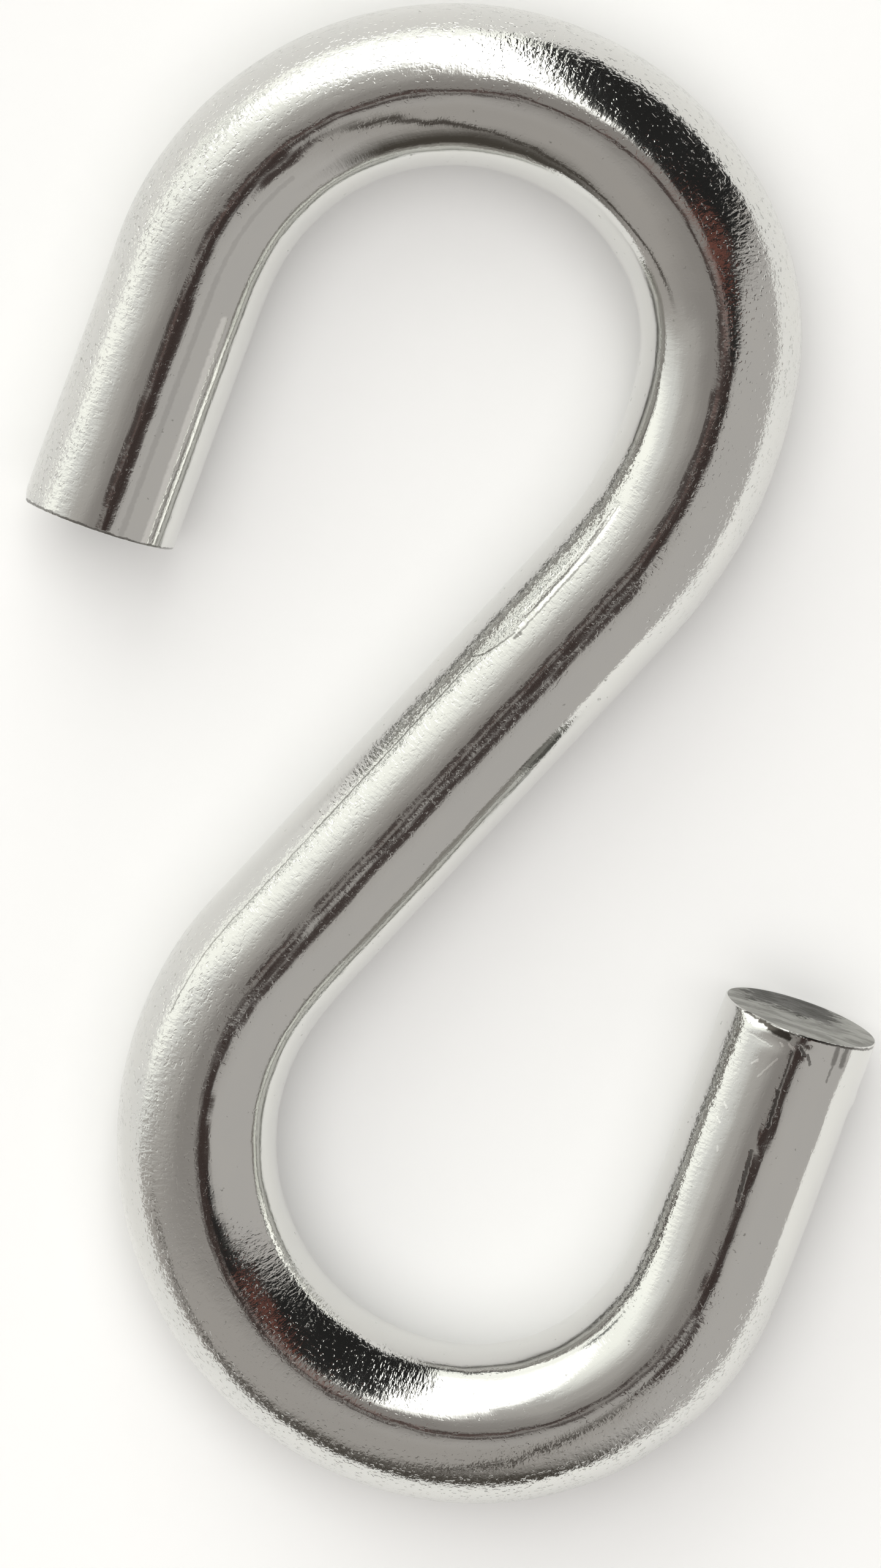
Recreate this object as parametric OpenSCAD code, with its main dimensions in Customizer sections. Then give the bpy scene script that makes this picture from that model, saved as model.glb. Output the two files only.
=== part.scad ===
// S hook: one round steel rod, bent cold into two open hooks that face opposite ways.
// Millimetres. The hook lies flat on z = 0 with its length along Y.
// Its centreline is a chain of tangent arcs. Going out from the shank, both bends turn left.

/* [Rod] */
// Diameter of the round rod
rod_d = 8; // [6:0.25:9]
// Growth of the rod's diameter in a bend, as a share of it, times the bend's radius
bend_swell = 0.2; // [0.1:0.05:0.4]

/* [Shank] */
// Length of the straight shank between the two bends
shank_length = 25.4; // [18:0.2:45]
// Angle between the shank and the hook's length
shank_lean = 43; // [30:0.5:50]

/* [Upper bend] */
// Angle that the whole upper bend turns through
upper_turn = 202.5; // [180:0.5:210]
// Centreline radius where the bend leaves the shank
upper_entry_r = 20.7; // [18.5:0.1:28]
// Angle turned at the entry radius
upper_entry_turn = 33.5; // [10:0.5:60]
// Centreline radius of the tighter shoulder
upper_shoulder_r = 11; // [9:0.1:12.8]
// Angle turned at the shoulder radius
upper_shoulder_turn = 35; // [10:0.5:60]
// Centreline radius of the crown, where the hook hangs
upper_crown_r = 13.8; // [13:0.1:18]
// Length of the straight tail past the bend
upper_tail = 13.9; // [6:0.1:16]

/* [Lower bend] */
// Angle that the whole lower bend turns through
lower_turn = 202.5; // [180:0.5:210]
// Centreline radius from the shank round the heel
lower_heel_r = 14.5; // [13.5:0.1:18]
// Centreline radius of the tighter toe, before the tail
lower_toe_r = 12.4; // [10:0.1:13.2]
// Angle turned at the toe radius
lower_toe_turn = 77; // [20:0.5:120]
// Length of the straight tail past the bend
lower_tail = 13.7; // [6:0.1:16]

/* [Sheared ends] */
// Slant of the upper end's cut across the hook's plane
upper_cut_skew = 1.5; // [-5:0.5:5]
// Tilt of the upper end's cut towards the top face
upper_cut_rake = 0; // [-6:0.5:6]
// Where the shear rolled the upper rim: 0 outer side, 90 top, 180 inner side
upper_roll_side = 0; // [0:5:355]
// Slant of the lower end's cut across the hook's plane
lower_cut_skew = 2; // [-5:0.5:5]
// Tilt of the lower end's cut towards the top face
lower_cut_rake = 5; // [-6:0.5:6]
// Where the shear rolled the lower rim: 0 outer side, 90 top, 180 inner side
lower_roll_side = 125; // [0:5:355]
// How far a rolled facet runs down the side of the rod
roll_length = 0.9; // [0.3:0.1:2]
// How far a rolled facet bites into the cut face
roll_depth = 0.28; // [0.1:0.02:0.6]

/* [Former mark] */
// Length of the shallow hollow that the bending former pressed into the shank
mark_length = 7.6; // [3:0.2:8]
// Depth of the hollow at its middle
mark_depth = 0.16; // [0.06:0.02:0.3]
// Distance of its middle from the shank's upper end
mark_place = 4; // [4:0.2:9]
// Side of the rod it is on: 90 top, 180 inner side of the upper bend
mark_side = 138; // [100:1:170]

/* [Hidden] */
$fn = 96;
rod_r = rod_d / 2;
// Length by which a stretch of rod runs on inside a more tightly bent neighbour
lap = 0.3;
// Length of rod that the shear takes off
offcut = rod_d;
// Radius that stands for a straight stretch
STRAIGHT = 1e6;

// Arcs of each bend, outwards from the shank: [centreline radius, angle turned]
upper_arcs = [
    [upper_entry_r, upper_entry_turn],
    [upper_shoulder_r, upper_shoulder_turn],
    [upper_crown_r, upper_turn - upper_entry_turn - upper_shoulder_turn]
];
lower_arcs = [
    [lower_heel_r, lower_turn - lower_toe_turn],
    [lower_toe_r, lower_toe_turn]
];

function bent_rod_r(radius) = rod_r * (1 + bend_swell / radius);

// A place on the centreline is [x, y, heading, radius of the rod there]
function left_of(heading) = [-sin(heading), cos(heading)];
function arc_place(from, radius, turn) =
    let (centre = [from[0], from[1]] + radius * left_of(from[2]))
    let (point = centre - radius * left_of(from[2] + turn))
    [point[0], point[1], from[2] + turn, bent_rod_r(radius)];
// Both ends of each arc, and where it runs along or across the hook
function bend_places(from, arcs, i = 0) =
    i == len(arcs) ? [] :
    let (radius = arcs[i][0], turn = arcs[i][1])
    concat(
        [
            for (quarter = [ceil(from[2] / 90) : floor((from[2] + turn) / 90)])
                arc_place(from, radius, 90 * quarter - from[2])
        ],
        [arc_place(from, radius, turn)],
        bend_places(arc_place(from, radius, turn), arcs, i + 1)
    );
function tail_end(from, length) =
    [from[0] + length * cos(from[2]), from[1] + length * sin(from[2]), from[2], rod_r];
function arm_places(from, arcs, length) =
    let (bent = bend_places(from, arcs))
    concat(bent, [tail_end(bent[len(bent) - 1], length)]);

// The outline's reach with the shank's middle at the origin, which centres the hook
shank_end = shank_length / 2 * [sin(shank_lean), cos(shank_lean)];
places = concat(
    arm_places([shank_end[0], shank_end[1], 90 - shank_lean], upper_arcs, upper_tail),
    arm_places([-shank_end[0], -shank_end[1], 270 - shank_lean], lower_arcs, lower_tail)
);
x_reach = [for (p = places, side = [-1, 1]) p[0] + side * p[3] * abs(sin(p[2]))];
y_reach = [for (p = places, side = [-1, 1]) p[1] + side * p[3] * abs(cos(p[2]))];
middle = [min(x_reach) + max(x_reach), min(y_reach) + max(y_reach)] / 2;
rest_height = max([for (p = places) p[3]]);

// Disc whose edge presses a hollow of the given length and depth
former_r = (pow(mark_length / 2, 2) + pow(mark_depth, 2)) / (2 * mark_depth);

// Straight rod along +Y, from a lap inside the bend behind it
module straight(length) {
    translate([0, -lap, 0])
        rotate([-90, 0, 0])
            cylinder(r = rod_r, h = lap + length);
}

// Rod that sets off along +Y and turns left, between neighbours of the given radii
module arc(radius, turn, radius_before, radius_after) {
    lap_turn = lap / radius * 180 / PI;
    turn_before = radius_before < radius ? lap_turn : 0;
    turn_after = radius_after < radius ? lap_turn : 0;
    translate([-radius, 0, 0])
        rotate_extrude(start = -turn_before, angle = turn_before + turn + turn_after)
            translate([radius, 0])
                circle(r = bent_rod_r(radius));
}

// Moves its children to the far end of such an arc
module past_arc(radius, turn) {
    translate([-radius, 0, 0])
        rotate([0, 0, turn])
            translate([radius, 0, 0])
                children();
}

// A bend's arcs in a row, with the children at their far end
module bend(arcs, i = 0) {
    if (i < len(arcs)) {
        radius_before = i > 0 ? arcs[i - 1][0] : STRAIGHT;
        radius_after = i < len(arcs) - 1 ? arcs[i + 1][0] : STRAIGHT;
        arc(arcs[i][0], arcs[i][1], radius_before, radius_after);
        past_arc(arcs[i][0], arcs[i][1])
            bend(arcs, i + 1)
                children();
    } else {
        children();
    }
}

// What the shear took: all past the cut face, and the facet that it rolled at the rim
module shear_waste(skew, rake, roll_side) {
    rotate([rake, 0, skew]) {
        translate([-rod_d, 0, -rod_d])
            cube([2 * rod_d, 2 * offcut, 2 * rod_d]);
        rotate([0, -roll_side, 0])
            translate([rod_r, -roll_length, 0])
                rotate([0, 0, atan(roll_depth / roll_length)])
                    translate([0, -roll_length, -rod_d])
                        cube([rod_d, rod_d, 2 * rod_d]);
    }
}

// Straight tail along +Y, sheared off at its far end
module tail(length, skew, rake, roll_side) {
    difference() {
        straight(length + offcut);
        translate([0, length, 0])
            shear_waste(skew, rake, roll_side);
    }
}

// The rim of the former's disc where it met the shank, beside the shank's upper end
module former_rim() {
    translate([0, shank_length - mark_place, 0])
        rotate([0, -mark_side, 0])
            intersection() {
                translate([rod_r - mark_depth + former_r, 0, -rod_r])
                    cylinder(r = former_r, h = rod_d, $fn = 720);
                translate([0, -mark_length / 2, -rod_r])
                    cube([rod_d, mark_length, rod_d]);
            }
}

// The whole rod, with its shank along +Y from the origin
module rod() {
    straight(shank_length + lap);
    translate([0, shank_length, 0])
        bend(upper_arcs)
            tail(upper_tail, upper_cut_skew, upper_cut_rake, upper_roll_side);
    rotate([0, 0, 180])
        bend(lower_arcs)
            tail(lower_tail, lower_cut_skew, lower_cut_rake, lower_roll_side);
}

module hook() {
    color("silver")
        translate([-middle[0], -middle[1], rest_height])
            rotate([0, 0, -shank_lean])
                translate([0, -shank_length / 2, 0])
                    difference() {
                        rod();
                        former_rim();
                    }
}

hook();
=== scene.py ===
import math

import bpy
import numpy as np
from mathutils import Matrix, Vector, noise


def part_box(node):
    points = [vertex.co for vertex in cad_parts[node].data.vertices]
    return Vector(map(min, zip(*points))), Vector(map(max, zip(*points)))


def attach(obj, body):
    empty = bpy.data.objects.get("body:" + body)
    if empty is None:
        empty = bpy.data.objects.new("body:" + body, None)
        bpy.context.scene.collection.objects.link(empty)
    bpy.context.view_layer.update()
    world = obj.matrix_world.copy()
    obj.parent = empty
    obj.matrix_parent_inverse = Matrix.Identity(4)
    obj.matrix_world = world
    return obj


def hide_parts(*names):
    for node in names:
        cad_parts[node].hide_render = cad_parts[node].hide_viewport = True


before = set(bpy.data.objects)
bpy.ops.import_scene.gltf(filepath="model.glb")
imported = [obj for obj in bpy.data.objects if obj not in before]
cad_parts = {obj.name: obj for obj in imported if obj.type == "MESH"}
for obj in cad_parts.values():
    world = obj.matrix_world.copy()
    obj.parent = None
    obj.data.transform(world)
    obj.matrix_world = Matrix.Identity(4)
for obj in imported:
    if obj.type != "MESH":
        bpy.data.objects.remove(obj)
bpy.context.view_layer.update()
LOW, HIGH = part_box("hook")
MM = 0.001

# ---- The hook's driving sizes, as in its CAD source, in millimetres and degrees ----
ROD_R = 4.0
BEND_SWELL = 0.2
SHANK_LENGTH = 25.4
SHANK_LEAN = 43.0
UPPER_TAIL = 13.9
LOWER_TAIL = 13.7
# Arcs of each bend, outwards from the shank: centreline radius, angle turned
UPPER_ARCS = ((20.7, 33.5), (11.0, 35.0), (13.8, 134.0))
LOWER_ARCS = ((14.5, 125.5), (12.4, 77.0))
UPPER_CUT = {"skew": 1.5, "rake": 0.0, "roll_side": 0.0}
LOWER_CUT = {"skew": 2.0, "rake": 5.0, "roll_side": 125.0}
ROLL_LENGTH = 0.6
ROLL_DEPTH = 0.22
MARK_LENGTH = 7.6
MARK_DEPTH = 0.07
MARK_PLACE = 4.0
MARK_SIDE = 138.0
MARK_SLIDE = 1.7
MARK_SPREAD = 14.5

# ---- How finely the rod is drawn ----
RING_STEP = 0.23
SIDES = 128
TOP_CROWDING = 0.35
RIM_ROUND = 0.09
# Share of a full round that the worn rim keeps
RIM_FULLNESS = 0.8
CAP_RINGS = 22
# Distances of the first rings from an end, and of the first evenly spaced ring
RIM_STEPS = (0.0, 0.02, 0.05, 0.09, 0.14, 0.2, 0.28, 0.37, 0.48)
RIM_REACH = 0.6
# Length over which rings slide into the slant of a cut
CUT_REACH = 3.0
# Slow unevenness of the rod's radius, and how much more of it a bend has for its curvature
WAVE_HEIGHT = 0.012
WAVE_IN_BEND = 6.0


def smooth_step(x, low, high):
    t = np.clip((x - low) / (high - low), 0.0, 1.0)
    return t * t * (3.0 - 2.0 * t)


def bell(x, width):
    return np.exp(-((x / width) ** 2))


# ---------------------------------------------------------------- centreline
def stretches():
    """Length and signed curvature of each stretch from the upper end to the lower end."""
    rows = [(UPPER_TAIL, 0.0)]
    for radius, turn in reversed(UPPER_ARCS):
        rows.append((radius * math.radians(turn), -1.0 / radius))
    rows.append((SHANK_LENGTH, 0.0))
    for radius, turn in LOWER_ARCS:
        rows.append((radius * math.radians(turn), 1.0 / radius))
    rows.append((LOWER_TAIL, 0.0))
    return rows


ROWS = stretches()
LENGTH = sum(length for length, _ in ROWS)
SHANK_START = sum(length for length, _ in ROWS[:4])


def curvature_profile(step):
    """Curvature along the rod, with the short blends that steel makes between arcs."""
    place = np.arange(0.0, LENGTH + step / 2, step)
    bend = np.zeros(len(place))
    start = 0.0
    for length, value in ROWS:
        bend[(place >= start) & (place < start + length)] = value
        start += length
    reach = int(3.0 / step)
    kernel = bell(np.arange(-reach, reach + 1) * step, 1.3)
    padded = np.pad(bend, reach, mode="edge")
    return place, np.convolve(padded, kernel / kernel.sum(), mode="valid")


def centreline(step=0.01):
    """Place, x, y, heading and curvature, centred over the CAD hook's box."""
    place, bend = curvature_profile(step)
    turned = np.concatenate(([0.0], np.cumsum((bend[1:] + bend[:-1]) / 2 * step)))
    middle = int(round((SHANK_START + SHANK_LENGTH / 2) / step))
    heading = turned - turned[middle] + math.radians(270.0 - SHANK_LEAN)
    dx = np.cos(heading)
    dy = np.sin(heading)
    x = np.concatenate(([0.0], np.cumsum((dx[1:] + dx[:-1]) / 2 * step)))
    y = np.concatenate(([0.0], np.cumsum((dy[1:] + dy[:-1]) / 2 * step)))
    rod = ROD_R * (1.0 + BEND_SWELL * abs(bend))
    for axis, across in ((x, abs(dy)), (y, abs(dx))):
        low = (axis - rod * across).min()
        high = (axis + rod * across).max()
        axis -= (low + high) / 2
    x += (LOW.x + HIGH.x) / 2 / MM
    y += (LOW.y + HIGH.y) / 2 / MM
    return place, x, y, heading, bend


# ---------------------------------------------------------------- relief on the rod
# Dents and bruises: place along the rod, angle from the top towards the left of travel,
# half length, half width (all mm or degrees), depth (+ in, - out), slant of the long axis
BRUISES = (
    (146.3, 3.0, 0.45, 3.0, -0.022, 8.0),
    (147.3, -3.5, 0.90, 3.0, 0.012, 6.0),
    (145.0, -1.0, 0.80, 3.0, 0.012, 4.0),
    (149.5, -86.0, 0.40, 9.0, -0.075, 0.0),
    (148.5, -84.0, 0.70, 9.0, 0.050, 0.0),
    (138.2, -84.0, 1.50, 22.0, 0.060, 0.0),
    (134.6, -80.0, 1.30, 20.0, -0.030, 0.0),
    (131.5, -82.0, 1.40, 22.0, 0.055, 0.0),
    (127.5, -84.0, 1.40, 20.0, 0.040, 0.0),
    (62.0, 72.0, 1.00, 14.0, 0.050, 0.0),
    (58.6, 64.0, 0.80, 10.0, 0.030, 0.0),
    (91.5, 68.0, 0.70, 7.0, 0.045, 0.0),
    (88.6, 60.0, 0.35, 5.0, -0.030, 0.0),
    (151.6, 22.0, 0.35, 12.0, 0.060, 0.0),
    (151.7, -14.0, 0.30, 12.0, 0.030, 0.0),
    (151.5, -33.0, 0.45, 5.0, 0.045, 0.0),
)
# Strokes drawn by the material: place and angle of the start, place and angle of the end,
# half width in mm, strength. Ridges are raised and carry a painted highlight in a near-white colour;
# cracks sink in and carry painted shade and painted dark reflection lines, with some grime at the
# lower end; grooves only sink in.
# Raised strokes along the former's mark, painted near-white as the highlight of its bright edge
MARK_RIDGE_HIGHLIGHTS = (
    (61.6, -37.0, 63.8, -35.3, 0.24, 1.0),
    (63.8, -35.3, 65.6, -34.4, 0.15, 1.0),
    (65.6, -34.4, 68.4, -33.9, 0.10, 1.0),
    (69.35, -34.8, 69.5, -34.8, 0.10, 1.0),
)
MARK_GROOVES = (
    (61.4, -39.6, 68.9, -38.6, 0.15, 1.0),
)
# Dark strokes on the mark: painted shade along the step of the hollow, and painted dark reflection lines
# running on down the shank
MARK_CRACK_SHADE_AND_REFLECTIONS = (
    (64.5, -30.8, 65.4, -31.6, 0.04, 0.5),
    (65.4, -31.6, 69.9, -31.2, 0.05, 0.55),
    (69.8, -30.6, 70.1, -31.2, 0.10, 0.7),
    (70.0, -34.4, 71.1, -37.9, 0.05, 0.6),
    (71.1, -37.9, 71.9, -42.3, 0.05, 0.65),
    (71.9, -42.3, 72.35, -48.0, 0.045, 0.6),
    (72.35, -48.0, 72.1, -54.0, 0.04, 0.5),
    (72.4, -44.3, 84.0, -44.0, 0.045, 0.65),
    (84.0, -44.0, 95.0, -43.0, 0.04, 0.5),
)
# Raised slivers and nicks at the lower end, painted near-white as highlights; the last two rows are
# painted glints
END_RIDGE_HIGHLIGHTS = (
    (150.6, 10.5, 149.4, 19.4, 0.05, 0.8),
    (150.2, 23.9, 149.9, 27.0, 0.05, 0.8),
    (147.5, 36.5, 147.3, 33.0, 0.05, 0.7),
    (146.7, 38.0, 146.5, 34.5, 0.05, 0.7),
    (145.3, 29.0, 145.1, 27.5, 0.06, 0.7),
    (151.4, 12.0, 151.3, 10.0, 0.06, 1.0),
    (151.5, 6.0, 151.4, 2.0, 0.06, 1.0),
)
END_GROOVES = (
    (151.35, 47.0, 151.15, 18.0, 0.05, 1.0),
)
# Dark strokes at the lower end: painted shade along the rim and in the gouges, partly grime
END_CRACK_SHADE_AND_GRIME = (
    (152.15, 50.0, 152.08, 34.0, 0.05, 0.9),
    (152.05, 35.0, 151.95, 9.0, 0.10, 1.0),
    (151.90, 24.0, 151.80, 8.0, 0.16, 1.0),
    (152.08, 9.0, 152.28, -44.0, 0.06, 0.9),
    (152.28, -44.0, 152.45, -75.0, 0.06, 0.8),
    (151.2, 1.8, 149.1, 1.4, 0.05, 0.7),
    (149.1, 1.4, 147.2, -0.6, 0.10, 0.8),
    (145.8, 4.4, 143.2, 1.0, 0.10, 0.7),
    (151.6, -2.5, 151.25, -7.0, 0.09, 0.7),
    (151.3, -9.0, 150.9, -13.0, 0.07, 0.7),
    (152.1, -29.8, 151.3, -31.0, 0.14, 0.6),
    (152.2, -37.5, 151.3, -38.5, 0.16, 0.6),
    (151.3, -31.0, 150.3, -30.6, 0.06, 0.5),
)
# A raised strip along the upper tail, painted near-white as a bright reflected line
TIP_RIDGE_HIGHLIGHTS = (
    (0.3, -38.5, 12.0, -37.0, 0.19, 1.0),
)
# Dark strokes at the upper end: a faint painted dark reflection along the tail and painted shade round
# the rim
TIP_CRACK_SHADE_AND_REFLECTIONS = (
    (0.3, -18.5, 14.0, -19.5, 0.15, 0.17),
    (14.0, -19.5, 21.0, -22.5, 0.12, 0.15),
    (0.17, -80.0, 0.08, 0.0, 0.06, 0.7),
    (0.08, 0.0, -0.02, 80.0, 0.06, 0.7),
)


def flat_on_rod(radius, depth, across):
    """Radial change where a chord at the given depth cuts the round rod."""
    chord = (radius - depth) / np.cos(np.clip(across, -1.2, 1.2))
    return np.minimum(chord - radius, 0.0)


def former_mark(place, angle):
    """The long hollow that the bending former pressed: steep at its upper edge, then flat."""
    middle = math.radians(90.0 - MARK_SIDE)
    along = (place - (SHANK_START + MARK_PLACE - MARK_SLIDE)) / (MARK_LENGTH / 2 + MARK_SLIDE)
    depth = MARK_DEPTH * np.maximum(1.0 - along**4, 0.0)
    upper = middle + math.radians(MARK_SPREAD) * np.sqrt(np.maximum(1.0 - along**6, 0.0))
    share = np.clip((upper - angle) / math.radians(2.0 * MARK_SPREAD), 0.0, 1.0)
    section = np.minimum(smooth_step(share, 0.0, 0.3), 1.0 - smooth_step(share, 0.1, 1.0))
    return -depth * section


def bruise_relief(place, angle):
    """All dents and nubs."""
    total = np.zeros_like(place)
    for middle, side, half_length, half_width, depth, slant in BRUISES:
        along = place - middle
        across = (angle - math.radians(side)) * ROD_R
        width = math.radians(half_width) * ROD_R
        skewed = across - along * math.tan(math.radians(slant))
        total -= depth * bell(along, half_length) * bell(skewed, width)
    return total


def roll_relief(out, angle, cut, outer):
    """The facet that the shear rolled at a rim; out is the distance past the cut."""
    side = math.radians(cut["roll_side"] - 90.0) * outer
    across = (angle - side + math.pi) % (2 * math.pi) - math.pi
    depth = np.maximum((out + ROLL_LENGTH) * ROLL_DEPTH / ROLL_LENGTH, 0.0)
    return flat_on_rod(ROD_R, depth, across)


def waviness(place, angle, bend):
    """Slow unevenness of cold bent rod, a few hundredths of a millimetre."""
    found = np.zeros(place.shape)
    rows, sides = place.shape
    for i in range(rows):
        for j in range(sides):
            spot = Vector((place[i, j] * 0.22, 1.3 * math.cos(angle[i, j]), 1.3 * math.sin(angle[i, j])))
            found[i, j] = noise.noise(spot) + 0.5 * noise.noise(spot * 2.7)
    return WAVE_HEIGHT * found * (1.0 + WAVE_IN_BEND * abs(bend))


# ---------------------------------------------------------------- the rod's mesh
def ring_places():
    """Places of the rings, closer together at both ends where the rims round off."""
    count = int((LENGTH - 2 * RIM_REACH) / RING_STEP)
    inner = np.linspace(RIM_REACH, LENGTH - RIM_REACH, count)
    near = np.array(RIM_STEPS)
    return np.concatenate((near, inner, LENGTH - near[::-1]))


def cut_slope(cut):
    """How far the cut face runs out for each mm to the outer side and to the top."""
    outward = math.tan(math.radians(cut["skew"]))
    upward = -math.tan(math.radians(cut["rake"])) / math.cos(math.radians(cut["skew"]))
    return outward, upward


def end_shift(place, side_out, side_up):
    """Slides rings near each end so that the last one lies in its sheared face."""
    shift = np.zeros(place.shape)
    for cut, gone, sign in ((UPPER_CUT, place, -1.0), (LOWER_CUT, LENGTH - place, 1.0)):
        outward, upward = cut_slope(cut)
        share = 1.0 - smooth_step(gone, 0.0, CUT_REACH)
        shift += sign * share * (outward * side_out + upward * side_up)
    return shift


def cap_relief(x, y, seed):
    """Torn texture of a sheared face, in mm out of its plane."""
    found = np.zeros(x.shape)
    for i in np.ndindex(x.shape):
        spot = Vector((x[i] * 0.5 + seed, y[i] * 0.9, seed))
        coarse = noise.noise(spot)
        torn = noise.noise(Vector((x[i] * 1.1 + y[i] * 0.5, y[i] * 3.5, seed + 7.0)))
        fine = noise.noise(Vector((x[i] * 5.0, y[i] * 6.0, seed + 3.0)))
        found[i] = 0.055 * coarse + 0.045 * abs(torn) + 0.018 * fine
    return found


def rod_mesh():
    """Grids of straight-rod coordinates for the rod and its two faces, and the centreline."""
    fine_place, fine_x, fine_y, fine_heading, fine_bend = centreline()
    places = ring_places()
    even = np.arange(SIDES) * 2 * math.pi / SIDES - math.pi
    angles = even - TOP_CROWDING * np.sin(even)
    place, angle = np.meshgrid(places, angles, indexing="ij")
    bend = np.interp(place, fine_place, fine_bend)
    radius = ROD_R * (1.0 + BEND_SWELL * abs(bend))
    radius = radius + former_mark(place, angle)
    radius = radius + bruise_relief(place, angle)
    radius = radius + waviness(place, angle, bend)
    radius = radius + roll_relief(-place, angle, UPPER_CUT, -1.0)
    radius = radius + roll_relief(place - LENGTH, angle, LOWER_CUT, 1.0)
    gone = np.minimum(place, LENGTH - place)
    rounded = np.clip(1.0 - gone / RIM_ROUND, 0.0, 1.0)
    radius = radius - RIM_ROUND * (1.0 - np.sqrt(1.0 - rounded**2)) * RIM_FULLNESS

    # The left of travel is the outer side at the upper end and the inner side at the lower
    left = radius * np.sin(angle)
    up = radius * np.cos(angle)
    outer = np.where(place < LENGTH / 2, left, -left)
    slid = place + end_shift(place, outer, up)
    sleeve = (left, up, slid, place, angle, bend)
    grids = [cap_grid(sleeve, 0, UPPER_CUT, 3.0), sleeve, cap_grid(sleeve, -1, LOWER_CUT, 11.0)]
    return grids, (fine_place, fine_x, fine_y, fine_heading)


def cap_grid(sleeve, row, cut, seed):
    """Rings from a rim to the middle of its sheared face."""
    left, up, _, place, angle, bend = [grid[row] for grid in sleeve]
    shares = np.linspace(1.0, 0.0, CAP_RINGS + 1)[1:-1] ** 0.85
    share = np.repeat(shares[:, None], SIDES, axis=1)
    cap_left = share * left
    cap_up = share * up
    sign = -1.0 if row == 0 else 1.0
    outward, upward = cut_slope(cut)
    flat = outward * cap_left * -sign + upward * cap_up
    rim = smooth_step(1.0 - share, 0.0, 0.12)
    torn = cap_relief(cap_left, cap_up, seed) * rim
    slid = place + sign * (flat + torn)
    return (cap_left, cap_up, slid, place + 0 * share, angle + 0 * share, bend + 0 * share)


def in_space(left, up, slid, path):
    """Rod coordinates to the row's frame, in metres."""
    fine_place, fine_x, fine_y, fine_heading = path
    x = np.interp(slid, fine_place, fine_x)
    y = np.interp(slid, fine_place, fine_y)
    heading = np.interp(slid, fine_place, fine_heading)
    past = slid - np.clip(slid, 0.0, LENGTH)
    x = x + past * np.cos(heading) - left * np.sin(heading)
    y = y + past * np.sin(heading) + left * np.cos(heading)
    z = up + HIGH.z / MM / 2
    return np.stack((x, y, z), axis=-1) * MM


def quads_between(first, second):
    """Faces that join two rings of vertex numbers."""
    faces = []
    for j in range(SIDES):
        k = (j + 1) % SIDES
        faces.append((first[j], second[j], second[k], first[k]))
    return faces


# Material slots of the hook
PLAIN, MARKED, BRUISED, TIP, SHEARED = range(5)
# Stretches of rod that carry strokes: first place, last place, slot
STROKED = ((60.0, 97.0, MARKED), (142.0, LENGTH, BRUISED), (0.0, 22.0, TIP))


def slot_at(place):
    """The slot whose strokes belong to this place along the rod."""
    for first, last, slot in STROKED:
        if first <= place <= last:
            return slot
    return PLAIN


def hook_object():
    (upper_cap, sleeve, lower_cap), path = rod_mesh()
    parts = [tuple(grid[::-1] for grid in upper_cap), sleeve, lower_cap]
    left, up, slid, place, angle, bend = [np.concatenate(kind) for kind in zip(*parts)]
    points = in_space(left, up, slid, path).reshape(-1, 3)
    rings = len(place)
    numbers = np.arange(rings * SIDES).reshape(rings, SIDES)
    faces = []
    for i in range(rings - 1):
        faces += quads_between(numbers[i], numbers[i + 1])
    hubs = []
    for ring, outward in ((0, -1), (rings - 1, 1)):
        hubs.append(points[numbers[ring]].mean(axis=0))
        hub = rings * SIDES + len(hubs) - 1
        for j in range(SIDES):
            k = (j + 1) % SIDES
            edge = (numbers[ring][k], numbers[ring][j])
            faces.append((*edge, hub) if outward < 0 else (*edge[::-1], hub))
    points = np.concatenate((points, hubs))

    mesh = bpy.data.meshes.new("s_hook_rod")
    mesh.from_pydata(points.tolist(), [], [tuple(int(n) for n in face) for face in faces])
    mesh.update()
    straight = np.stack((slid, left, up), axis=-1).reshape(-1, 3)
    ends = [[slid[0].mean(), 0.0, 0.0], [slid[-1].mean(), 0.0, 0.0]]
    add_attribute(mesh, "straight_rod", "FLOAT_VECTOR", np.concatenate((straight, ends)))
    grain = grain_strength(place, angle, bend).ravel()
    add_attribute(mesh, "grain", "FLOAT", np.concatenate((grain, [0.5, 0.5])))
    cap_rings = CAP_RINGS - 1
    for polygon in mesh.polygons:
        polygon.use_smooth = True
        ring = polygon.index // SIDES
        if ring < cap_rings or ring >= rings - 1 - cap_rings:
            polygon.material_index = SHEARED
        else:
            polygon.material_index = slot_at(place[ring, 0])
    hook = bpy.data.objects.new("s_hook_rod", mesh)
    bpy.context.scene.collection.objects.link(hook)
    return hook


def grain_strength(place, angle, bend):
    """How strongly the skin is grained: most where bending stretched it, least inside."""
    side = np.degrees(angle)
    drawn = 0.10 + 0.05 * bell(place - 76.0, 32.0)
    stretched = np.clip(drawn - 4.2 * np.sin(angle) * bend * ROD_R, 0.10, 1.5)
    tail = 2.6 * (1.0 - smooth_step(place, 16.0, 24.0)) * bell(side - 60.0, 22.0)
    shank = 0.62 * smooth_step(place, 56.0, 62.0) * (1.0 - smooth_step(place, 96.0, 102.0))
    lower_bend = 0.7 * bell(place - 113.0, 6.0) * bell(side - 30.0, 25.0)
    lower_tail = 0.25 * smooth_step(place, 131.0, 138.0) * bell(side - 50.0, 14.0)
    return stretched + tail + shank * bell(side + 44.0, 20.0) + lower_bend + lower_tail


def add_attribute(mesh, name, kind, values):
    made = mesh.attributes.new(name, kind, "POINT")
    field = "vector" if kind == "FLOAT_VECTOR" else "value"
    made.data.foreach_set(field, np.asarray(values, np.float32).ravel())


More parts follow.
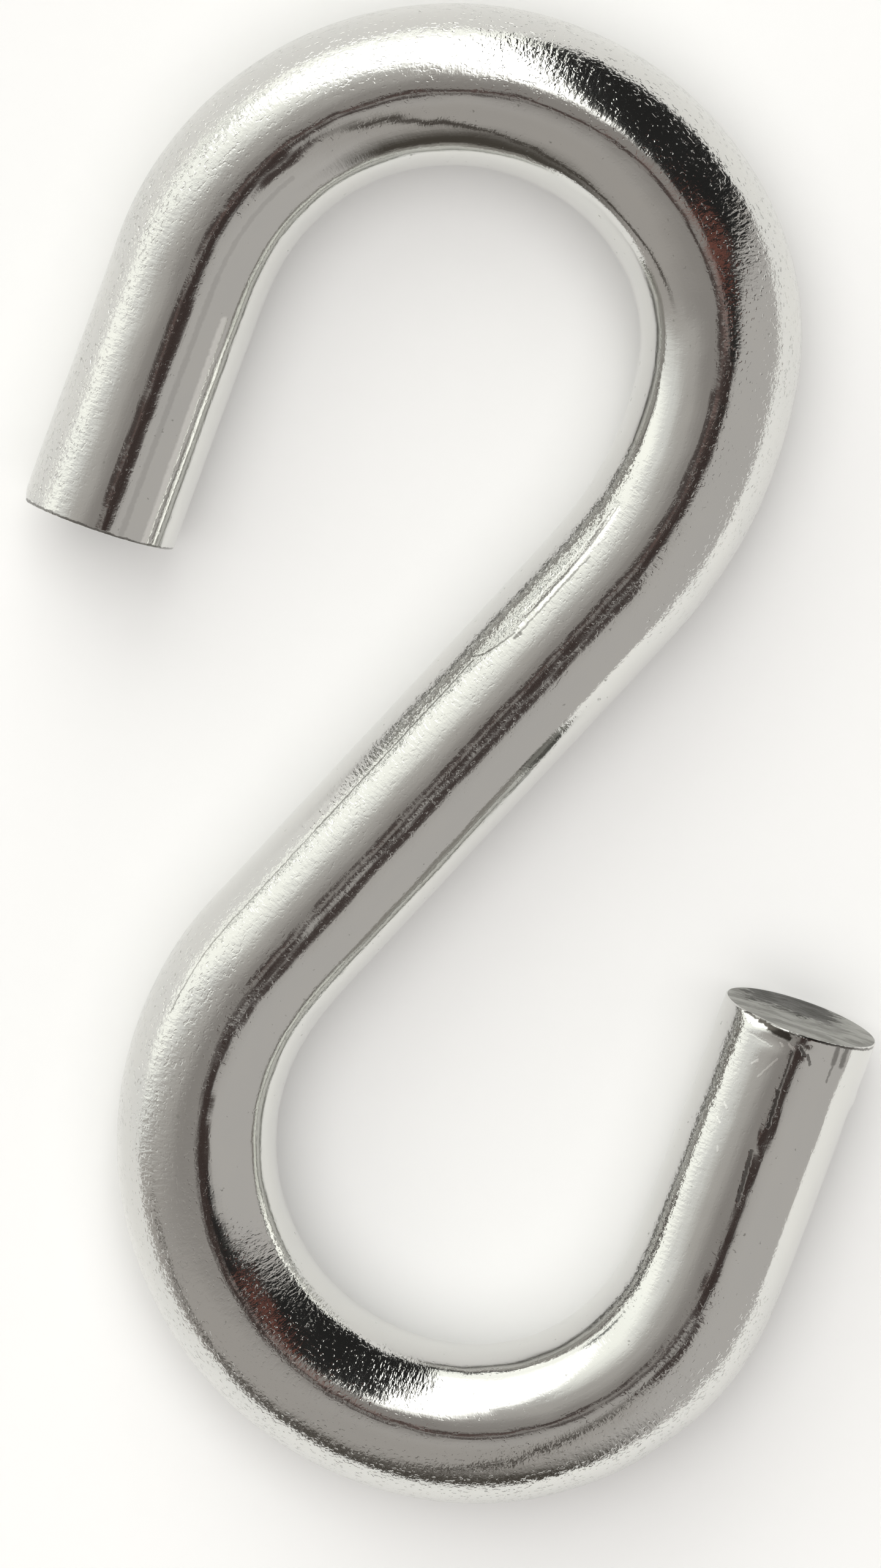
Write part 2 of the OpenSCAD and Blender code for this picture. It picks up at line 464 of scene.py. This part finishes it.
# ---------------------------------------------------------------- node helpers
class Graph:
    """A short way to add nodes and join them."""

    def __init__(self, tree):
        self.tree = tree
        tree.nodes.clear()

    def node(self, kind, settings=None, **inputs):
        made = self.tree.nodes.new(kind)
        for name, value in (settings or {}).items():
            setattr(made, name, value)
        for name, value in inputs.items():
            self.join(made.inputs[name.replace("_", " ")], value)
        return made

    def join(self, socket, value):
        if isinstance(value, bpy.types.NodeSocket):
            self.tree.links.new(value, socket)
        else:
            socket.default_value = value

    def math(self, operation, *values):
        made = self.tree.nodes.new("ShaderNodeMath")
        made.operation = operation
        for socket, value in zip(made.inputs, values):
            self.join(socket, value)
        return made.outputs[0]

    def ramp(self, value, low, high, to_low=0.0, to_high=1.0):
        """Smooth step of a value from to_low to to_high."""
        made = self.tree.nodes.new("ShaderNodeMapRange")
        made.interpolation_type = "SMOOTHSTEP"
        for name, number in (
            ("Value", value),
            ("From Min", low),
            ("From Max", high),
            ("To Min", to_low),
            ("To Max", to_high),
        ):
            self.join(made.inputs[name], number)
        return made.outputs["Result"]

    def mix(self, share, first, second):
        made = self.tree.nodes.new("ShaderNodeMix")
        made.data_type = "RGBA"
        self.join(made.inputs["Factor"], share)
        for name, colour in (("A", first), ("B", second)):
            socket = [s for s in made.inputs if s.name == name and s.type == "RGBA"][0]
            self.join(socket, colour)
        return [s for s in made.outputs if s.type == "RGBA"][0]

    def noise(self, vector, scale, detail=2.0, rough=0.5, stretch=(1.0, 1.0, 1.0)):
        mapped = self.node("ShaderNodeMapping", Vector=vector)
        mapped.inputs["Scale"].default_value = stretch
        made = self.node(
            "ShaderNodeTexNoise",
            Vector=mapped.outputs[0],
            Scale=scale,
            Detail=detail,
            Roughness=rough,
        )
        return made.outputs["Fac"]


def linear(value):
    """A screen grey of 0 to 255 as linear light."""
    value = value / 255.0
    return value / 12.92 if value <= 0.04045 else ((value + 0.055) / 1.055) ** 2.4


# Colour of the bare plating, as in the record
STEEL = (0.70, 0.70, 0.68)


def seen(red, green, blue, strength=1.0):
    """The studio's light that bare plated steel shows as this screen colour."""
    lights = [linear(c) / metal * strength for c, metal in zip((red, green, blue), STEEL)]
    return (*lights, 1.0)


# ---------------------------------------------------------------- materials
# Relief, in metres, that one unit of a bump's height stands for
SKIN_BUMP = 0.000012
TORN_BUMP = 0.00006


def new_material(name):
    made = bpy.data.materials.new(name)
    made.use_nodes = True
    return made, Graph(made.node_tree)


def stroke(g, skin_plane, start, end, half_width, strength):
    """A straight stroke on the unrolled skin: its strength, fading out at its edge."""
    along, across = skin_plane
    run = (end[0] - start[0], end[1] - start[1])
    size = max(math.hypot(*run), 0.001)
    from_start = g.math("SUBTRACT", along, start[0])
    from_side = g.math("SUBTRACT", across, start[1])
    forward = g.math("MULTIPLY", from_start, run[0] / size)
    forward = g.math("MULTIPLY_ADD", from_side, run[1] / size, forward)
    sideways = g.math("MULTIPLY", from_side, run[0] / size)
    sideways = g.math("MULTIPLY_ADD", from_start, -run[1] / size, sideways)
    over = g.math("SUBTRACT", forward, g.math("MINIMUM", g.math("MAXIMUM", forward, 0.0), size))
    away = g.math("ADD", g.math("MULTIPLY", over, over), g.math("MULTIPLY", sideways, sideways))
    return g.ramp(g.math("SQRT", away), 1.5 * half_width, 0.5 * half_width, 0.0, strength)


def strokes(g, skin_plane, rows):
    """All strokes of a list: how much they cover, and their relief in mm."""
    cover = 0.0
    relief = 0.0
    for from_place, from_side, to_place, to_side, half_width, strength in rows:
        start = (from_place, math.radians(from_side) * ROD_R)
        end = (to_place, math.radians(to_side) * ROD_R)
        drawn = stroke(g, skin_plane, start, end, half_width, strength)
        cover = g.math("MAXIMUM", drawn, cover)
        relief = g.math("MAXIMUM", g.math("MULTIPLY", drawn, half_width), relief)
    return cover, relief


def unrolled(g, rod):
    """Place along the rod and distance round it from the top, in mm, a little ragged."""
    split = g.node("ShaderNodeSeparateXYZ", Vector=rod)
    place, left, up = split.outputs
    across = g.math("MULTIPLY", g.math("ARCTAN2", left, up), ROD_R)
    ragged = g.math("SUBTRACT", g.noise(rod, 3.5, 2.0, 0.6), 0.5)
    drift = g.math("SUBTRACT", g.noise(rod, 4.1, 2.0, 0.6), 0.5)
    along = g.math("MULTIPLY_ADD", ragged, 0.20, place)
    return along, g.math("MULTIPLY_ADD", drift, 0.20, across)


def plated_steel(name, ridge_highlight_rows=(), groove_rows=(), shaded_crack_rows=()):
    """Bright zinc plate over drawn rod, with orange peel where the bends stretched it."""
    made, g = new_material(name)
    own = g.node("ShaderNodeTexCoord").outputs["Object"]
    rod = g.node("ShaderNodeAttribute", {"attribute_name": "straight_rod"}).outputs["Vector"]
    grain = g.node("ShaderNodeAttribute", {"attribute_name": "grain"}).outputs["Fac"]
    skin_plane = unrolled(g, rod)
    ridge_highlights, ridge_relief = strokes(g, skin_plane, ridge_highlight_rows)
    _, groove_relief = strokes(g, skin_plane, groove_rows)
    shaded_cracks, crack_relief = strokes(g, skin_plane, shaded_crack_rows)

    peel = g.noise(own, 4200.0, 2.0, 0.55)
    pocks = g.ramp(g.noise(rod, 1.0, 1.0, 0.5, stretch=(4.2, 5.6, 5.6)), 0.58, 0.72)
    grit = g.noise(own, 9000.0, 1.0, 0.5)
    teeth = g.noise(rod, 1.0, 2.0, 0.55, stretch=(5.2, 1.9, 1.9))
    draw_lines = g.noise(rod, 1.0, 2.0, 0.6, stretch=(0.12, 3.2, 3.2))
    swell = g.noise(rod, 1.0, 1.0, 0.5, stretch=(0.45, 0.6, 0.6))
    patches = g.noise(rod, 1.0, 3.0, 0.6, stretch=(0.25, 0.5, 0.5))

    up = g.node("ShaderNodeSeparateXYZ", Vector=rod).outputs[2]
    toothed = g.math("MULTIPLY", g.ramp(up, 3.9, 3.2, 0.4, 2.2), g.ramp(grain, 0.1, 0.4, 0.2, 1.2))
    uneven = g.ramp(patches, 0.38, 0.62, 0.65, 1.2)
    grained = g.math("MULTIPLY", grain, uneven)
    height = g.math("MULTIPLY", peel, g.math("MULTIPLY", grained, 1.2))
    height = g.math("MULTIPLY_ADD", pocks, g.math("MULTIPLY", grained, -1.0), height)
    height = g.math("MULTIPLY_ADD", grit, g.math("MULTIPLY", grained, 0.35), height)
    height = g.math("MULTIPLY_ADD", teeth, toothed, height)
    height = g.math("MULTIPLY_ADD", draw_lines, 0.30, height)
    height = g.math("MULTIPLY_ADD", swell, 2.0, height)
    height = g.math("MULTIPLY_ADD", ridge_relief, 5.0, height)
    height = g.math("MULTIPLY_ADD", groove_relief, -8.0, height)
    height = g.math("MULTIPLY_ADD", crack_relief, -9.0, height)
    bump = g.node("ShaderNodeBump", Height=height, Distance=SKIN_BUMP, Strength=1.0)

    pits = g.ramp(g.noise(own, 2600.0, 2.0, 0.6), 0.70, 0.76)
    warm = g.mix(patches, (0.72, 0.715, 0.685, 1.0), (0.675, 0.68, 0.665, 1.0))
    tone = g.mix(g.math("MULTIPLY", pits, 0.55), warm, (0.30, 0.30, 0.28, 1.0))
    # Ridge strokes paint a near-white highlight into the colour
    tone = g.mix(g.math("MULTIPLY", ridge_highlights, 0.9), tone, (0.99, 0.99, 0.96, 1.0))
    # Crack strokes paint dark shade along creases and rims and dark reflection lines, with grime at the
    # lower end
    tone = g.mix(g.math("MULTIPLY", shaded_cracks, 0.95), tone, (0.055, 0.048, 0.040, 1.0))
    rough = g.ramp(grained, 0.1, 1.4, 0.09, 0.16)
    rough = g.math("MULTIPLY_ADD", pits, 0.25, rough)
    rough = g.math("MULTIPLY_ADD", g.math("MAXIMUM", ridge_highlights, shaded_cracks), 0.15, rough)
    skin = g.node(
        "ShaderNodeBsdfPrincipled",
        Base_Color=tone,
        Metallic=1.0,
        Roughness=rough,
        Normal=bump.outputs[0],
    )
    g.node("ShaderNodeOutputMaterial", Surface=skin.outputs[0])
    return made


def sheared_steel():
    """The torn end faces: dull, streaked across, with a dark ragged patch on the lower half."""
    made, g = new_material("sheared_steel")
    rod = g.node("ShaderNodeAttribute", {"attribute_name": "straight_rod"}).outputs["Vector"]
    _, left, up = g.node("ShaderNodeSeparateXYZ", Vector=rod).outputs
    grain = g.noise(rod, 1.0, 4.0, 0.7, stretch=(2.0, 1.6, 5.0))
    blotch = g.noise(rod, 1.0, 3.0, 0.6, stretch=(0.8, 0.45, 1.3))
    ragged = g.math("SUBTRACT", g.noise(rod, 1.0, 3.0, 0.65, stretch=(1.0, 1.5, 3.0)), 0.5)
    height = g.math("MULTIPLY_ADD", ragged, 5.0, up)
    reach = g.math("MULTIPLY_ADD", ragged, 4.0, g.math("SUBTRACT", left, 0.5))
    torn = g.math("MULTIPLY", g.ramp(height, 0.0, -0.8), g.ramp(g.math("ABSOLUTE", reach), 2.7, 2.1))
    bump = g.node("ShaderNodeBump", Height=grain, Distance=TORN_BUMP, Strength=1.0)
    tone = g.mix(g.ramp(blotch, 0.42, 0.60), (0.37, 0.37, 0.345, 1.0), (0.26, 0.26, 0.24, 1.0))
    tone = g.mix(g.math("MULTIPLY", torn, 0.85), tone, (0.045, 0.043, 0.036, 1.0))
    tone = g.mix(g.ramp(grain, 0.62, 0.74), tone, (0.16, 0.155, 0.135, 1.0))
    rough = g.ramp(blotch, 0.3, 0.7, 0.34, 0.50)
    skin = g.node(
        "ShaderNodeBsdfPrincipled",
        Base_Color=tone,
        Metallic=1.0,
        Roughness=rough,
        Normal=bump.outputs[0],
    )
    g.node("ShaderNodeOutputMaterial", Surface=skin.outputs[0])
    return made


# ---------------------------------------------------------------- studio
def polar_plane(g):
    """Direction of the sky as degrees from straight up, laid out flat towards +X and +Y."""
    way = g.node("ShaderNodeTexCoord").outputs["Generated"]
    split = g.node("ShaderNodeSeparateXYZ", Vector=way)
    x, y, z = split.outputs
    down = g.math("MULTIPLY", g.math("ARCCOSINE", z), 180.0 / math.pi)
    flat = g.math("SQRT", g.math("ADD", g.math("MULTIPLY", x, x), g.math("MULTIPLY", y, y)))
    share = g.math("DIVIDE", down, g.math("MAXIMUM", flat, 0.0001))
    wander = g.math("SUBTRACT", g.noise(way, 5.0, 3.0, 0.6), 0.5)
    other = g.math("SUBTRACT", g.noise(way, 5.7, 3.0, 0.6), 0.5)
    amount = g.ramp(down, 4.0, 26.0, 1.5, 7.0)
    east = g.math("MULTIPLY_ADD", wander, amount, g.math("MULTIPLY", x, share))
    north = g.math("MULTIPLY_ADD", other, amount, g.math("MULTIPLY", y, share))
    return down, east, north


def beyond(g, plane, start, end, soft):
    """1 to the left of the line from start to end in the polar plane, 0 to the right."""
    _, east, north = plane
    run = (end[0] - start[0], end[1] - start[1])
    size = math.hypot(*run)
    left = (-run[1] / size, run[0] / size)
    offset = -(left[0] * start[0] + left[1] * start[1])
    away = g.math("MULTIPLY_ADD", east, left[0], offset)
    away = g.math("MULTIPLY_ADD", north, left[1], away)
    return g.ramp(away, -soft, soft)


def near_spot(g, plane, middle, size, tilt, soft):
    """1 inside an ellipse in the polar plane; size is its half axes, tilt its direction."""
    _, east, north = plane
    turn = math.radians(tilt)
    dx = g.math("SUBTRACT", east, middle[0])
    dy = g.math("SUBTRACT", north, middle[1])
    along = g.math("ADD", g.math("MULTIPLY", dx, math.cos(turn)), g.math("MULTIPLY", dy, math.sin(turn)))
    across = g.math("MULTIPLY_ADD", dx, -math.sin(turn), g.math("MULTIPLY", dy, math.cos(turn)))
    along = g.math("DIVIDE", along, size[0])
    across = g.math("DIVIDE", across, size[1])
    squares = g.math("ADD", g.math("MULTIPLY", along, along), g.math("MULTIPLY", across, across))
    away = g.math("SQRT", squares)
    return g.ramp(away, 1.0 + soft, 1.0 - soft)


# Dark shapes overhead, placed so that their reflections lie like the photo's dark streaks along
# the crest: middle, half axes, tilt, in degrees of the polar plane
SLEEVES = (
    ((-1.8, -3.8), (4.8, 1.8), -20.0),
    ((10.4, -8.3), (9.4, 2.7), -20.0),
    ((2.8, -10.5), (5.2, 1.2), -20.0),
    ((6.7, -10.7), (5.6, 1.6), -43.0),
    ((13.8, -20.3), (6.8, 3.6), -43.0),
)


def ceiling(g, plane):
    """A ceiling that brightens towards the window and dims to the south-west."""
    _, east, north = plane
    windowward = g.math("MULTIPLY_ADD", north, 0.87, g.math("MULTIPLY", east, -0.5))
    tone = g.mix(g.ramp(windowward, -22.0, -4.0), seen(165, 162, 157), seen(128, 124, 119))
    tone = g.mix(g.ramp(windowward, 3.0, 21.0), tone, seen(158, 155, 149))
    tone = g.mix(g.ramp(windowward, 20.0, 44.0), tone, seen(206, 206, 200))
    tone = g.mix(g.ramp(windowward, 40.0, 56.0), tone, seen(246, 247, 237))
    south = g.ramp(north, -4.0, -34.0)
    west = g.ramp(east, 32.0, 8.0)
    return g.mix(g.math("MULTIPLY", south, west), tone, seen(150, 146, 140))


def arc_and_wall(g, plane, tone):
    """A thin dark arc to the south and the dark wall low behind it."""
    _, east, north = plane
    ring = near_spot(g, plane, (-28.0, -31.0), (39.0, 39.0), 0.0, 0.03)
    hole = near_spot(g, plane, (-28.0, -31.0), (34.5, 34.5), 0.0, 0.03)
    arc = g.math("MULTIPLY", g.math("SUBTRACT", ring, hole), g.ramp(north, -14.0, -34.0))
    tone = g.mix(arc, tone, seen(58, 53, 48))
    wall = g.math("MULTIPLY", g.ramp(north, -48.0, -80.0), g.ramp(east, 44.0, 24.0))
    return g.mix(wall, tone, seen(62, 58, 52))


def lit_window(g, plane, tone):
    """The window to the north-west, with its glow and its sill."""
    down, _, _ = plane
    glow = near_spot(g, plane, (-44.0, 46.0), (27.0, 18.0), 140.0, 0.55)
    tone = g.mix(g.math("MULTIPLY", glow, 0.75), tone, seen(240, 241, 231))
    right_side = beyond(g, plane, (10.5, 10.0), (18.0, 60.0), 1.5)
    steep = beyond(g, plane, (-4.0, 33.0), (9.0, 10.0), 3.5)
    shallow = beyond(g, plane, (-48.0, 51.0), (-4.0, 33.0), 5.0)
    lower_left = g.math("MAXIMUM", steep, shallow)
    height = g.ramp(down, 82.0, 66.0)
    window = g.math("MULTIPLY", g.math("MULTIPLY", right_side, lower_left), height)
    tone = g.mix(window, tone, seen(255, 255, 248, 1.6))
    sill = near_spot(g, plane, (-59.0, 53.0), (13.0, 2.4), 47.0, 0.3)
    return g.mix(sill, tone, seen(96, 98, 94))


def dark_shapes(g, plane, tone):
    """The curtain to the north-east, the shapes overhead and a reddish hem."""
    curtain_left = beyond(g, plane, (18.5, 60.0), (9.0, -4.0), 2.0)
    curtain_right = beyond(g, plane, (8.0, -14.0), (70.0, 30.0), 2.5)
    curtain = g.math("MULTIPLY", curtain_left, curtain_right)
    tone = g.mix(curtain, tone, seen(30, 30, 29))
    for middle, size, tilt in SLEEVES:
        sleeve = near_spot(g, plane, middle, size, tilt, 0.25)
        tone = g.mix(sleeve, tone, seen(52, 43, 40))
    hem = near_spot(g, plane, (20.0, 5.0), (19.0, 1.9), 28.0, 0.4)
    return g.mix(g.math("MULTIPLY", hem, 0.8), tone, seen(112, 70, 60))


def studio_sky():
    """A fixed room of shapes, the same for every ray, for the metal to reflect."""
    world = bpy.data.worlds.new("studio")
    world.use_nodes = True
    bpy.context.scene.world = world
    g = Graph(world.node_tree)
    plane = polar_plane(g)
    tone = ceiling(g, plane)
    tone = arc_and_wall(g, plane, tone)
    tone = lit_window(g, plane, tone)
    tone = dark_shapes(g, plane, tone)
    light = g.node("ShaderNodeBackground", Color=tone, Strength=1.0)
    g.node("ShaderNodeOutputWorld", Surface=light.outputs[0])


# Floor and lamp: metres and watts
FLOOR_HALF = 3.0
LAMP_SIZE = 1.6
LAMP_HEIGHT = 1.2
LAMP_POWER = 8.1


def pale_floor():
    """A wide sheet of pale card under the hook."""
    half = FLOOR_HALF
    level = LOW.z
    corners = [(-half, -half, level), (half, -half, level), (half, half, level), (-half, half, level)]
    mesh = bpy.data.meshes.new("floor")
    mesh.from_pydata(corners, [], [(0, 1, 2, 3)])
    made, g = new_material("pale_card")
    own = g.node("ShaderNodeTexCoord").outputs["Object"]
    tone = g.mix(g.noise(own, 900.0, 3.0), (0.965, 0.965, 0.96, 1.0), (0.98, 0.98, 0.975, 1.0))
    card = g.node("ShaderNodeBsdfDiffuse", Color=tone, Roughness=0.4)
    g.node("ShaderNodeOutputMaterial", Surface=card.outputs[0])
    mesh.materials.append(made)
    floor = bpy.data.objects.new("floor", mesh)
    bpy.context.scene.collection.objects.link(floor)


def soft_lamp():
    """A big soft box straight above, hidden from the camera and from reflections."""
    lamp = bpy.data.lights.new("soft_box", "AREA")
    lamp.shape = "DISK"
    lamp.size = LAMP_SIZE
    lamp.energy = LAMP_POWER
    box = bpy.data.objects.new("soft_box", lamp)
    box.location = (0.0, 0.0, LAMP_HEIGHT)
    box.visible_glossy = False
    box.visible_camera = False
    bpy.context.scene.collection.objects.link(box)


# ---- Camera, from the photograph's angle: millimetres and degrees ----
CAMERA_AIM = (-0.33, -1.20)
CAMERA_DISTANCE = 463.8
CAMERA_TILT = 7.0
CAMERA_ROLL = -0.20
LENS = 210.9


def photo_camera():
    data = bpy.data.cameras.new("camera")
    data.lens = LENS
    data.sensor_width = 36.0
    data.clip_start = 0.01
    data.clip_end = 20.0
    camera = bpy.data.objects.new("camera", data)
    bpy.context.scene.collection.objects.link(camera)
    middle = Vector(((LOW.x + HIGH.x) / 2, (LOW.y + HIGH.y) / 2, (LOW.z + HIGH.z) / 2))
    aim = middle + Vector((CAMERA_AIM[0], CAMERA_AIM[1], 0.0)) * MM
    tilt = math.radians(CAMERA_TILT)
    away = Vector((0.0, math.sin(tilt), math.cos(tilt)))
    camera.location = aim + away * CAMERA_DISTANCE * MM
    camera.rotation_euler = (-tilt, 0.0, math.radians(CAMERA_ROLL))
    bpy.context.scene.camera = camera


bpy.context.scene.view_settings.view_transform = "Standard"
photo_camera()
hook = hook_object()
hook.data.materials.append(plated_steel("plated_steel"))
# The marked, bruised and tip materials paint highlights and shade into the colour along their strokes
hook.data.materials.append(plated_steel("plated_steel_marked", MARK_RIDGE_HIGHLIGHTS, MARK_GROOVES, MARK_CRACK_SHADE_AND_REFLECTIONS))
hook.data.materials.append(plated_steel("plated_steel_bruised", END_RIDGE_HIGHLIGHTS, END_GROOVES, END_CRACK_SHADE_AND_GRIME))
hook.data.materials.append(plated_steel("plated_steel_tip", TIP_RIDGE_HIGHLIGHTS, (), TIP_CRACK_SHADE_AND_REFLECTIONS))
hook.data.materials.append(sheared_steel())
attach(hook, "root")
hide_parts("hook")
pale_floor()
soft_lamp()
studio_sky()
